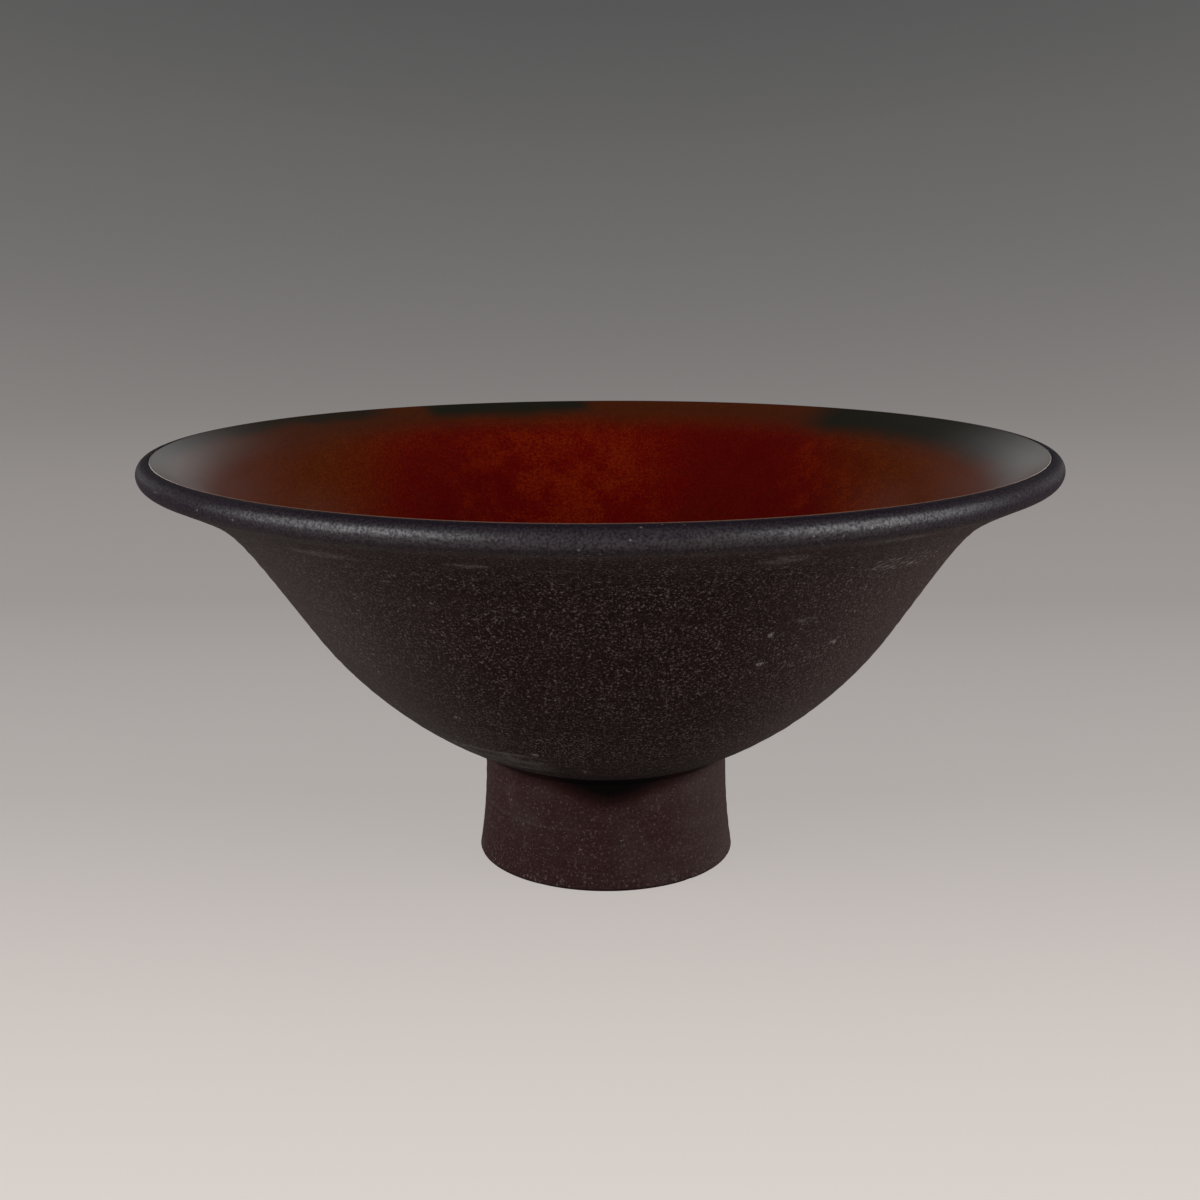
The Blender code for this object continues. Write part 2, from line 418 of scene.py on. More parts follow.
def throwing_lines(marks, past, column):
    """Depth of the throwing spiral over a grid of distance along the wall and angle round it.

    Two sines of distance over pitch plus the turn, one on a finer pitch, swell and fade with slower ones.
    """
    distance, turn = past[:, None], column[None, :]
    chance = np.random.default_rng(marks.seed)
    lag, fine_lag, swell_lag, drift_lag = chance.uniform(0.0, FULL_TURN, 4)
    drift = 0.9 * np.sin(turn + drift_lag) + 0.5 * np.sin(2 * turn + lag)
    coarse = np.sin(FULL_TURN * distance / marks.line_pitch - turn + drift + lag)
    fine = np.sin(FULL_TURN * distance / (FINE_PITCH * marks.line_pitch) - 2 * turn - drift + fine_lag)
    swell = 0.6 + 0.4 * np.sin(FULL_TURN * distance / (SWELL_PITCH * marks.line_pitch) + turn + swell_lag)
    return marks.line_depth * swell * (coarse + 0.5 * fine)


def turned_surface(line, lift, column):
    """A grid of points: the line moved out along its normals by a lift, and turned about Z."""
    moved = line[:, None, :] + left_of(line)[:, None, :] * lift[:, :, None]
    radius = np.maximum(moved[..., 0], 0.0)
    return np.stack([radius * np.cos(column), radius * np.sin(column), moved[..., 1]], axis=-1)


def leaned(points, form, marks):
    """The lean of a hand-thrown bowl: it grows evenly from the underside to the shifted, tilted rim.

    The rim's warp and its oval are cosines of two and three times the angle round the axis.
    """
    x, y, z = points[..., 0], points[..., 1], points[..., 2]
    rise = grown(z, form.underside, form.height - form.underside)
    turn = np.arctan2(y, x)
    out = np.hypot(x, y) / form.rim_radius
    oval = marks.out_of_round * rise * (np.cos(2 * turn + 0.7) + 0.5 * np.cos(3 * turn - 1.1))
    tilt = x * math.tan(marks.tilt_side) + y * math.tan(marks.tilt_back)
    lift = rise * (tilt + marks.warp * out**2 * np.cos(2 * turn))
    x = x + oval * np.cos(turn) - marks.rim_shift * rise
    y = y + oval * np.sin(turn)
    return np.stack([x, y, z + lift], axis=-1)


def turned_mesh(name, points, along, shape):
    """A mesh from a grid of points (along the line, round the axis), with a value kept at each as "along".

    Quads join each row to the next and each column to the next one round. A "ring" joins its last row to its
    first. A "solid" has both end rows drawn together on the axis and closed by fans, a "dish" only the first.
    """
    turns = points.shape[1]
    along = np.broadcast_to(along, points.shape[:2])
    poles = {"ring": [], "solid": [0, -1], "dish": [0]}[shape]
    body = slice(1 if 0 in poles else 0, -1 if -1 in poles else None)
    vertices = np.concatenate([points[body].reshape(-1, 3), points[poles].mean(axis=1)])
    values = np.concatenate([along[body].ravel(), along[poles].mean(axis=1)])
    rows = np.arange(len(vertices) - len(poles)).reshape(-1, turns)
    beside = np.roll(rows, -1, axis=1)
    fans = []
    if 0 in poles:
        first = np.full(turns, len(vertices) - len(poles))
        fans += np.stack([first, rows[0], beside[0]], axis=-1).tolist()
    if -1 in poles:
        last = np.full(turns, len(vertices) - 1)
        fans += np.stack([rows[-1], last, beside[-1]], axis=-1).tolist()
    if shape == "ring":
        rows, beside = np.vstack([rows, rows[:1]]), np.vstack([beside, beside[:1]])
    quads = np.stack([rows[:-1], rows[1:], beside[1:], beside[:-1]], axis=-1).reshape(-1, 4).tolist()
    mesh = bpy.data.meshes.new(name)
    mesh.from_pydata(vertices.tolist(), [], quads + fans)
    mesh.attributes.new("along", "FLOAT", "POINT").data.foreach_set("value", values.astype(np.float32))
    mesh.shade_smooth()
    mesh.update()
    return mesh


def add_piece(name, mesh, material, node):
    """Puts a finished piece in the scene, in place of its CAD node."""
    if mesh.validate():
        raise RuntimeError(f"the surface of {name} has broken faces")
    mesh.materials.append(material)
    piece = bpy.data.objects.new(name, mesh)
    bpy.context.scene.collection.objects.link(piece)
    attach(piece, BODY)
    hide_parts(node)


# Materials

class Signal:
    """A socket in a finish. Arithmetic on it, with numbers or signals on either side, adds Math nodes."""

    def __init__(self, finish, socket):
        self.finish = finish
        self.socket = socket

    def math(self, operation, first, second):
        """The result of a Math node for two values."""
        sockets = {"Value": first, "Value_001": second}
        return self.finish.node("ShaderNodeMath", {"operation": operation}, sockets)

    def __add__(self, other):
        return self.math("ADD", self, other)

    def __radd__(self, other):
        return self.math("ADD", other, self)

    def __sub__(self, other):
        return self.math("SUBTRACT", self, other)

    def __rsub__(self, other):
        return self.math("SUBTRACT", other, self)

    def __mul__(self, other):
        return self.math("MULTIPLY", self, other)

    def __rmul__(self, other):
        return self.math("MULTIPLY", other, self)

    def __truediv__(self, other):
        return self.math("DIVIDE", self, other)

    def __abs__(self):
        return self.math("ABSOLUTE", self, 0.0)


class Finish:
    """A material with one Principled shader, fed by nodes that read Object coordinates and "along"."""

    def __init__(self, name, **constants):
        self.material = bpy.data.materials.new(name)
        self.material.use_nodes = True
        self.tree = self.material.node_tree
        self.shader = self.tree.nodes["Principled BSDF"]
        for socket, value in constants.items():
            self.shader.inputs[socket.replace("_", " ")].default_value = value
        self.place = self.node("ShaderNodeTexCoord", output="Object")
        self.past = self.node("ShaderNodeAttribute", {"attribute_name": "along"}, output="Fac")
        self.x, self.y, self.z = (
            self.node("ShaderNodeSeparateXYZ", inputs={"Vector": self.place}, output=axis) for axis in "XYZ"
        )
        self.bearing = self.x.math("ARCTAN2", self.x, 0.0 - self.y)

    def node(self, kind, settings=None, inputs=None, output=None):
        """Adds a node: its settings are set first, then its sockets, named by identifier, are fed."""
        node = self.tree.nodes.new(kind)
        for name, value in (settings or {}).items():
            setattr(node, name, value)
        sockets = {socket.identifier: socket for socket in node.inputs}
        for name, value in (inputs or {}).items():
            self.feed(sockets[name], value)
        outputs = {socket.identifier: socket for socket in node.outputs}
        return Signal(self, outputs[output] if output else node.outputs[0])

    def feed(self, socket, value):
        """Links a signal to a socket, or sets the socket to a plain value."""
        if isinstance(value, Signal):
            self.tree.links.new(value.socket, socket)
        elif socket.type == "RGBA":
            socket.default_value = (*value, 1.0)
        else:
            socket.default_value = value

    def finish(self, **sockets):
        """Feeds the shader's own sockets and gives the material back."""
        for name, value in sockets.items():
            self.feed(self.shader.inputs[name.replace("_", " ")], value)
        return self.material

    def ramp(self, value, tones):
        """A colour that runs through these (position, colour) pairs as the value does."""
        low, high = tones[0][0], tones[-1][0]
        ramp = self.node("ShaderNodeValToRGB", inputs={"Fac": (value - low) / (high - low)})
        stops = ramp.socket.node.color_ramp.elements
        for position, _ in tones[1:-1]:
            stops.new((position - low) / (high - low))
        for stop, (_, tone) in zip(stops, tones):
            stop.color = (*tone, 1.0)
        return ramp

    def keep_tone(self, tone, amount):
        """Lets the camera, mirrors and glass see this much of a tone as written, whatever the light."""
        seen = 0.0
        for ray in ("Is Camera Ray", "Is Glossy Ray", "Is Transmission Ray"):
            seen = seen + self.node("ShaderNodeLightPath", output=ray)
        flat = self.node("ShaderNodeEmission", inputs={"Color": tone})
        lit = Signal(self, self.shader.outputs["BSDF"])
        sockets = {"Fac": seen * amount, "Shader": lit, "Shader_001": flat}
        mixed = self.node("ShaderNodeMixShader", inputs=sockets)
        self.feed(self.tree.nodes["Material Output"].inputs["Surface"], mixed)

    def noise(self, size, detail, roughness, place=None):
        """Cloudy noise from 0 to 1 whose features are about this many metres across."""
        place = place or self.place
        sockets = {"Vector": place, "Scale": 1.0 / size, "Detail": detail, "Roughness": roughness}
        return self.node("ShaderNodeTexNoise", {"normalize": True}, sockets)

    def noise_over(self, x, y, z):
        """Noise over a place of its own, with features about 1 across."""
        place = self.node("ShaderNodeCombineXYZ", inputs={"X": x, "Y": y, "Z": z})
        sockets = {"Vector": place, "Scale": 1.0, "Detail": 2.0}
        return self.node("ShaderNodeTexNoise", {"normalize": True}, sockets)

    def flattened(self, amount):
        """Object coordinates for a pattern that is this many times as wide as it is high."""
        sockets = {"Vector": self.place, "Scale": (1.0, 1.0, amount)}
        return self.node("ShaderNodeMapping", {"vector_type": "POINT"}, sockets)

    def rings(self, size, reach):
        """Noise drawn out round the axis: this fine along the wall, with this reach in metres round it."""
        return self.noise_over(self.x * (1.0 / reach), self.y * (1.0 / reach), self.past / size)

    def streaks(self, size, reach, slope, radius):
        """Noise drawn out along a slope up to the right, on a wall of about this radius."""
        around = self.bearing * radius
        along = (around * math.cos(slope) + self.z * math.sin(slope)) / reach
        across = (self.z * math.cos(slope) - around * math.sin(slope)) / size
        return self.noise_over(along, across, 0.0)

    def band(self, value, low, high):
        """A smooth step from 0 at low to 1 at high, which may lie below low."""
        sockets = {"Value": value, "From Min": low, "From Max": high}
        return self.node("ShaderNodeMapRange", {"interpolation_type": "SMOOTHSTEP"}, sockets)

    def window(self, value, low, high, soft):
        """1 between low and high, with soft edges."""
        return self.band(value, low - soft, low + soft) * self.band(value, high + soft, high - soft)

    def area(self, bearings, heights):
        """1 within a window of bearings and a window of heights."""
        return self.window(self.bearing, *bearings) * self.window(self.z, *heights)

    def spots(self, places):
        """The sum of round spots on the wall, each given by bearing and height and its reach in both."""
        total = 0.0
        for bearing, height, turn_reach, height_reach in places:
            across = (self.bearing - math.radians(bearing)) / math.radians(turn_reach)
            up = (self.z - height * MILLIMETRE) / (height_reach * MILLIMETRE)
            total = total + self.band(across * across + up * up, 1.0, 0.1)
        return total

    def specks(self, size, radius, kept, fade=0.04):
        """Round specks in a share of the cells of this size, with this radius in cells, some fainter."""
        sockets = {"Vector": self.place, "Scale": 1.0 / size}
        cells = self.node("ShaderNodeTexVoronoi", {"feature": "F1"}, sockets, "Distance")
        tint = Signal(self, cells.socket.node.outputs["Color"])
        chance = self.node("ShaderNodeSeparateColor", inputs={"Color": tint}, output="Red")
        return self.band(cells, radius, 0.6 * radius) * self.band(chance, kept, kept - fade)

    def mix(self, amount, first, second):
        """From the first colour to the second."""
        sockets = {"Factor_Float": amount, "A_Color": first, "B_Color": second}
        return self.node("ShaderNodeMix", {"data_type": "RGBA"}, sockets, "Result_Color")

    def bump(self, height, depth, strength=1.0):
        """A normal bent by a height from 0 to 1 that stands this deep."""
        sockets = {"Height": height, "Distance": depth, "Strength": strength}
        return self.node("ShaderNodeBump", inputs=sockets)


# Spots on the wall: bearing in degrees and height in millimetres, then the reach in both
SCUFFS = (
    (32, 115.0, 6, 1.4),
    (19.5, 111.5, 4, 2.0),
    (-35, 109.5, 7, 1.6),
    (-15.6, 110.5, 3.5, 0.9),
    (30, 91.0, 2.6, 1.0),
)
SANDY_PATCHES = (
    (5.6, 100.7, 9, 5.0),
    (54, 104.0, 8, 2.4),
    (-8.0, 52.0, 12, 7.0),
)
CHIPS = (
    (25, 79.0, 1.0, 0.7),
    (24.6, 88.0, 0.6, 1.2),
    (39, 82.0, 1.0, 0.9),
    (-17.9, 48.0, 1.3, 0.7),
    (-18.4, 43.8, 0.8, 0.5),
    (-6.6, 40.3, 0.8, 1.4),
    (-31.0, 60.2, 0.9, 0.5),
)

# Areas of the wall: a window of bearings and one of heights, each with two ends and how soft both are
SMEAR = ((-0.86, -0.32, 0.10), (0.0385, 0.0470, 0.0008))
UPPER_RIDGE = ((-0.86, -0.34, 0.08), (0.0466, 0.0473, 0.0004))
LOWER_RIDGE = ((-0.66, -0.33, 0.06), (0.0429, 0.0433, 0.0003))
SCRATCHED = ((0.62, 0.85, 0.05), (0.1023, 0.1063, 0.0010))
STROKES = (0.0006, 0.0040, 0.2, 0.115)  # of the scratches: width, length, slope and the wall's radius there
FRONT = (-0.58, 0.58, 0.34)  # bearings alone

# Bands on the wall: where each starts and where it is full, in metres past the glaze line
ROLL = (0.0082, 0.0062)
RIM = (0.0125, 0.0068)
HIGHLIGHT = (0.0014, 0.0042)
CREASE_TOP = (0.0062, 0.0084)
CREASE_END = (0.0160, 0.0110)

# The same in radians of bearing, for the painted sheen on both sides
PAINTED_SHEEN_LEFT = (0.3, -0.3)
PAINTED_SHEEN_RIGHT = (-0.3, 0.3)

# The same as heights
UNDER_RIM = (0.096, 0.110)
LOW_BELLY = (0.062, 0.050)
# Painted shade on the low belly, towards the foot
PAINTED_SHADE_NEAR_FOOT = (0.0480, 0.0300)


def wall_finish(clay):
    """Sandy brown-black clay with pale grains, throwing lines, scuffs and a purple-black rim, with painted
    sheen on both sides and painted shade near the foot.
    """
    f = Finish(
        "thrown_stoneware", Specular_IOR_Level=0.02, Coat_Roughness=0.40, Coat_IOR=1.6, Sheen_Weight=0.008
    )
    grit = f.noise(0.00062, 2.0, 0.6)
    cloud = f.noise(0.026, 4.0, 0.6)
    broken = f.noise(0.0024, 3.0, 0.7, f.flattened(2.2))
    lines = f.rings(0.0011, 0.06)
    rough_skin = f.band(grit, 0.34, 0.66)

    # Marks of hand and use
    scuffs = f.spots(SCUFFS) * f.band(broken, 0.36, 0.64)
    chips = f.spots(CHIPS) * f.band(grit, 0.42, 0.58)
    smear = f.area(*SMEAR) * f.band(f.noise(0.004, 4.0, 0.65), 0.32, 0.66)
    ridges = (f.area(*UPPER_RIDGE) + f.area(*LOWER_RIDGE)) * f.band(broken, 0.30, 0.60)
    strokes = f.band(f.streaks(*STROKES), 0.53, 0.62) * f.band(broken, 0.34, 0.58)
    scratches = f.area(*SCRATCHED) * strokes

    # Grains, which lie closer in sandy places
    sandy = 0.60 + 0.3 * f.band(cloud, 0.30, 0.70) + 0.7 * f.spots(SANDY_PATCHES) + 0.5 * (scuffs + smear)
    sandy = sandy + 0.25 * f.band(f.z, *UNDER_RIM) + 0.25 * f.band(f.z, *LOW_BELLY)
    crumbs = f.band(f.noise(0.00072, 3.0, 0.9), 0.565, 0.630)
    grains = (0.35 * f.specks(0.00085, 0.45, 0.50, 0.45) + crumbs) * sandy
    stones = f.specks(0.0022, 0.17, 0.22) + f.specks(0.0060, 0.075, 0.30)

    # Colours, from the skin outwards
    in_front = f.window(f.bearing, *FRONT)
    rim = f.band(f.past, *RIM)
    crease = f.band(f.past, *CREASE_TOP) * f.band(f.past, *CREASE_END)
    tone = f.mix(rough_skin, clay.pit_and_painted_shade, clay.wall)
    tone = f.mix(rim, tone, clay.rim)
    tone = f.mix(grains * (0.85 - 0.70 * rim), tone, clay.grain_and_painted_sheen)
    tone = f.mix(f.band(lines, 0.52, 0.75) * 0.04, tone, clay.dust_and_painted_light)
    # Painted sheen: away from the front the wall is painted paler, with dust on the left and grain on the
    # right
    painted_side_sheen = (1.0 - in_front) * (1.0 - rim)
    tone = f.mix(painted_side_sheen * f.band(f.bearing, *PAINTED_SHEEN_LEFT) * 0.19, tone, clay.dust_and_painted_light)
    tone = f.mix(painted_side_sheen * f.band(f.bearing, *PAINTED_SHEEN_RIGHT) * 0.11, tone, clay.grain_and_painted_sheen)
    # Painted shade: the belly is painted darker towards the foot, where it overhangs the joint
    tone = f.mix(f.band(f.z, *PAINTED_SHADE_NEAR_FOOT) * 0.55, tone, clay.pit_and_painted_shade)
    tone = f.mix(crease * 0.11 * (0.5 + rough_skin), tone, clay.dust_and_painted_light)
    scuffed = scuffs * (0.25 + 0.65 * rough_skin)
    tone = f.mix(scuffed + smear * 0.40 + ridges * 0.55, tone, clay.dust_and_painted_light)
    tone = f.mix(stones * 0.55 + chips * 0.85 + scratches * 0.70, tone, clay.sand)

    # A satin sheen on the roll, broken up by the grit
    sheen = f.band(f.past, *ROLL) * f.band(f.past, *HIGHLIGHT)
    sheen = sheen * (0.15 + 0.76 * in_front) * (0.30 + 0.70 * rough_skin)
    height = 0.7 * grit + 0.5 * grains + 0.10 * lines + 0.3 * stones + 0.8 * ridges
    bent = f.bump(height, 0.00026)
    return f.finish(Base_Color=tone, Roughness=0.84 - 0.10 * rough_skin, Coat_Weight=sheen, Normal=bent)


# The painted shadow that the belly casts over the joint: it reaches lower down in front
PAINTED_SHADOW_REACH = 0.0058
PAINTED_SHADOW_FRONT = (-0.24, 0.30, 0.32)
PAINTED_SHADOW_EDGE_BEARINGS = (-0.75, 0.80, 0.25)
PAINTED_SHADOW_EDGE_BAND = (0.0276, 0.0318)
PAINTED_SHADOW_BAND = (0.0298, 0.0352)


def with_painted_shadow(f, tone, clay):
    """A tone with the painted shadow in front, darkest under the belly and gone some way down the foot."""
    near = f.z + PAINTED_SHADOW_REACH * f.window(f.bearing, *PAINTED_SHADOW_FRONT)
    edge = f.window(f.bearing, *PAINTED_SHADOW_EDGE_BEARINGS) * f.band(near, *PAINTED_SHADOW_EDGE_BAND)
    tone = f.mix(edge * 0.75, tone, clay.painted_shadow_edge)
    return f.mix(f.band(near, *PAINTED_SHADOW_BAND), tone, clay.painted_shadow)


# Bands of height on the foot, and the bearings of its side with painted light
WORN_EDGE = (0.0055, 0.0012)
RESTING_EDGE = (0.0011, 0.0004)
PAINTED_LIT_SIDE = (0.70, 1.50, 0.30)


def foot_finish(clay):
    """Browner, finer clay with turning lines, pale scuffs along the lower edge, painted light on the right
    side and the painted shadow of the belly in front.
    """
    f = Finish("turned_stoneware", Specular_IOR_Level=0.03, Sheen_Weight=0.012)
    sand = f.noise(0.00060, 2.0, 0.6)
    cloud = f.noise(0.014, 4.0, 0.6)
    lines = f.rings(0.0009, 0.05)
    worn = f.band(f.noise(0.006, 3.0, 0.6), 0.36, 0.58) * f.band(f.z, *WORN_EDGE)
    wear = f.specks(0.0011, 0.42, 0.60, 0.30) * worn
    stones = f.specks(0.0040, 0.075, 0.25)
    crumbs = f.band(f.noise(0.00080, 3.0, 0.9), 0.56, 0.66)
    tone = f.mix(f.band(sand, 0.36, 0.60), clay.wall, clay.foot)
    tone = f.mix(crumbs * 0.36, tone, clay.grain_and_painted_sheen)
    tone = f.mix(f.band(lines, 0.50, 0.78) * 0.08, tone, clay.dust_and_painted_light)
    tone = f.mix(f.band(cloud, 0.45, 0.78) * 0.10, tone, clay.dust_and_painted_light)
    # Painted light: the foot's right side is painted paler
    tone = f.mix(f.window(f.bearing, *PAINTED_LIT_SIDE) * 0.09, tone, clay.dust_and_painted_light)
    tone = f.mix(wear * 0.34 + stones * 0.60, tone, clay.sand)
    tone = f.mix(f.band(f.z, *RESTING_EDGE) * 0.7, tone, clay.pit_and_painted_shade)
    # Painted shadow of the belly, in front
    tone = with_painted_shadow(f, tone, clay)
    height = 0.55 * sand + 0.35 * lines + 0.3 * wear
    bent = f.bump(height, 0.00018)
    return f.finish(Base_Color=tone, Roughness=0.78 + 0.10 * (sand - 0.5), Normal=bent)


def slip_finish(clay):
    """Smeared brown-black slip with finger drags round the joint, and the painted shadow of the belly in
    front.
    """
    f = Finish("luting_slip", Specular_IOR_Level=0.04)
    sand = f.noise(0.0006, 2.0, 0.6)
    drags = f.rings(0.0005, 0.012)
    tone = f.mix(f.band(sand, 0.3, 0.7), clay.pit_and_painted_shade, clay.slip)
    tone = f.mix(f.band(drags, 0.5, 0.75) * 0.12, tone, clay.dust_and_painted_light)
    # Painted shadow of the belly, in front
    tone = with_painted_shadow(f, tone, clay)
    bent = f.bump(sand + drags, 0.00014)
    return f.finish(Base_Color=tone, Roughness=0.85 + 0.08 * (sand - 0.5), Normal=bent)


# Green-black patches: bands of bearing where each begins and ends, the distance in from the glaze's edge
# where it starts and is full, and its strength
BLACK_PATCHES = (
    ((1.00, 1.60), (2.55, 2.39), (0.0210, 0.0090), 0.93),
    ((-3.12, -3.06), (-2.57, -2.63), (0.0125, 0.0040), 0.93),
    ((-2.52, -2.40), (-0.95, -1.55), (0.0090, 0.0030), 0.80),
)

# Darker pools: a window across the bowl, then distance and strength as above
POOLS = (
    ((-0.074, -0.040, 0.016), (0.004, 0.036), 0.85),
    ((0.024, 0.076, 0.016), (0.004, 0.026), 1.0),
)

# Windows of bearing at the two ends of the bowl, and bands of distance in from the edge
LEFT_END = (-1.76, -0.95, 0.36)
RIGHT_END = (0.95, 1.70, 0.36)
GLASSY = (0.0220, 0.0056)
OLIVE_EDGE = (0.0240, 0.0070)
TAN_EDGE = (0.00095, 0.00055)
DEEP_FLOOR = (0.060, 0.115)

# Bands of distance from the bowl's middle line to either side
# The rusty band is partly rust and partly painted sheen
RUSTY_AND_PAINTED_SHEEN = (0.063, 0.095)
DARKER_FLECKS = (0.060, 0.090)


def glaze_finish(glaze):
    """Satin iron red with cloudy orange-brown flecks, rust brown with painted sheen at both sides, olive and
    green-black near the rim, tan at its edge.
    """
    f = Finish("iron_red_glaze", Specular_IOR_Level=0.015, Coat_Roughness=0.32)
    cloud = f.noise(0.030, 3.0, 0.55)
    blotch = f.noise(0.0075, 7.0, 0.72, f.flattened(0.8))
    fine = f.noise(0.00075, 3.0, 0.85)
    inward = f.past + 0.008 * (f.noise(0.020, 4.0, 0.62) - 0.5)
    across = f.x + 0.060 * (blotch - 0.5) + 0.030 * (cloud - 0.5)
    aside = abs(f.x)

    # Pools with ragged sides, patches along the edge and the two ends that catch the light
    pools = 0.0
    for sides, depth, strength in POOLS:
        pools = pools + strength * f.window(across, *sides) * f.band(inward, *depth)
    pools = pools * (0.75 + 0.25 * f.band(fine, 0.60, 0.40))
    black = 0.0
    for begin, end, depth, strength in BLACK_PATCHES:
        around = f.band(f.bearing, *begin) * f.band(f.bearing, *end)
        black = black + strength * around * f.band(inward, *depth)
    ends = f.window(f.bearing, *LEFT_END) + f.window(f.bearing, *RIGHT_END)

    # Colours, from the ground to the edge
    flecked = f.band(blotch + 0.5 * (cloud - 0.5) + 1.0 * (fine - 0.5), 0.34, 0.70) * (1.0 - 0.85 * pools)
    tone = f.mix(flecked, glaze.red, glaze.fleck)
    tone = f.mix(f.band(f.past, *DEEP_FLOOR) * 0.5, tone, glaze.pool)
    tone = f.mix(pools * 0.46, tone, glaze.pool)
    # Rust brown and painted sheen towards both sides
    tone = f.mix(f.band(aside, *RUSTY_AND_PAINTED_SHEEN) * 0.72, tone, glaze.rust_and_painted_sheen)
    tone = f.mix(f.band(inward, *OLIVE_EDGE) * (0.90 - 0.35 * pools), tone, glaze.olive)
    speckled = f.band(fine, 0.58, 0.42) * (0.50 + 0.05 * f.band(aside, *DARKER_FLECKS))
    tone = f.mix(speckled, tone, glaze.pool)
    tone = f.mix(black, tone, glaze.black)
    tone = f.mix(f.band(f.past, *TAN_EDGE) * (0.8 - 0.5 * ends), tone, glaze.edge)

    glassy = ends * f.band(f.past, *GLASSY) * (0.74 + 0.32 * fine)
    rough = 0.36 + 0.12 * (blotch - 0.5) + 0.10 * (fine - 0.5)
    height = 0.6 * f.noise(0.0045, 2.0, 0.5) + 0.4 * fine
    bent = f.bump(height, 0.00005, 0.6)
    return f.finish(Base_Color=tone, Roughness=rough, Coat_Weight=glassy, Normal=bent)


# Tones of the graded paper sweep, by depth from front to back
SWEEP_TONES = (
    (-0.18, (0.690, 0.640, 0.601)),
    (-0.04, (0.541, 0.499, 0.478)),
    (0.04, (0.462, 0.432, 0.412)),
    (0.33, (0.337, 0.313, 0.300)),
    (1.36, (0.226, 0.214, 0.208)),
    (2.42, (0.101, 0.101, 0.101)),
)


def sweep_finish(stage):
    """Graded paper, pale in front and grey behind. "along" holds the depth."""
    f = Finish("graded_paper", Specular_IOR_Level=0.0, Roughness=1.0)
    tone = f.ramp(f.past, SWEEP_TONES)
    f.keep_tone(tone, stage.even_tone)
    return f.finish(Base_Color=tone)


# Pieces

WALL_LINES_START = 0.008  # past the glaze line
GLAZE_LINES_START = 0.006  # in from the glaze's edge
LINES_FADE = 0.010
FOOT_LINES = 0.8  # depth of the lines on the foot, in depths of those on the wall
GLAZED_LINES = 0.5  # the same under the glaze
BARE_EDGE = 0.002  # of the foot, which the lines stop short of

# The ridge under the belly, and its share of the height away from its bearing
RIDGE_WIDTH = 0.0009
RIDGE_BEARING = -0.58
RIDGE_REACH = 0.34
RIDGE_ELSEWHERE = 0.12

# Chips on the foot: least and most width in radians, least and most depth, and height
NICK_WIDTHS = (0.014, 0.034)
NICK_DEPTHS = (0.00003, 0.00012)
NICK_HEIGHT = 0.0009

SLIP_WAVES = (3, 7, 16, 29)  # in one turn round the fillet of slip
SLIP_WAVE_HEIGHT = 0.5  # as a share of the bead


class BOWL_OT_throw_bowl(bpy.types.Operator):
    """Throw the bowl: ogee wall, rolled rim and throwing lines"""

    bl_idname = "bowl.throw_bowl"
    bl_label = "Throw the bowl"

    def execute(self, context):
        settings = context.scene.footed_bowl
        form, marks = settings.form, settings.marks
        line, past = bowl_line(form)
        column = columns(BOWL_TURNS)
        wall = grown(past, WALL_LINES_START, LINES_FADE)[:, None]
        lift = wall * throwing_lines(marks, past, column)
        ridge = bell(line[:, 0], marks.ridge_radius, RIDGE_WIDTH) * (past > 0.0)
        ridge_round = RIDGE_ELSEWHERE + bell(bearings(column), RIDGE_BEARING, RIDGE_REACH)
        lift += marks.ridge_height * ridge[:, None] * ridge_round[None, :]
        surface = leaned(turned_surface(line, lift, column), form, marks)
        mesh = turned_mesh("bowl_wall", surface, past[:, None], "solid")
        add_piece("bowl_wall", mesh, wall_finish(settings.clay), "bowl_body")
        return {"FINISHED"}


class BOWL_OT_turn_foot(bpy.types.Operator):
    """Turn the foot ring, with its flare and its chipped lower edge"""

    bl_idname = "bowl.turn_foot"
    bl_label = "Turn the foot"

    def execute(self, context):
        settings = context.scene.footed_bowl
        form, foot, marks = settings.form, settings.foot, settings.marks
        line, past = foot_line(form, foot)
        column = columns(FOOT_TURNS)
        chance = np.random.default_rng(marks.seed + 1)
        at = chance.uniform(0.0, FULL_TURN, marks.nicks)
        wide = chance.uniform(*NICK_WIDTHS, marks.nicks)
        deep = chance.uniform(*NICK_DEPTHS, marks.nicks)
        away = (column[:, None] - at + math.pi) % FULL_TURN - math.pi
        nicked = (deep * bell(away, 0.0, wide)).sum(axis=1)
        edge = past[FOOT_POINTS + EDGE_POINTS // 2]
        outside = (past < edge - BARE_EDGE)[:, None]
        lift = FOOT_LINES * throwing_lines(marks, past, column) * outside
        lift -= bell(past, edge, NICK_HEIGHT)[:, None] * nicked[None, :]
        surface = leaned(turned_surface(line, lift, column), form, marks)
        mesh = turned_mesh("foot", surface, past[:, None], "ring")
        add_piece("foot", mesh, foot_finish(settings.clay), "foot_ring")
        return {"FINISHED"}


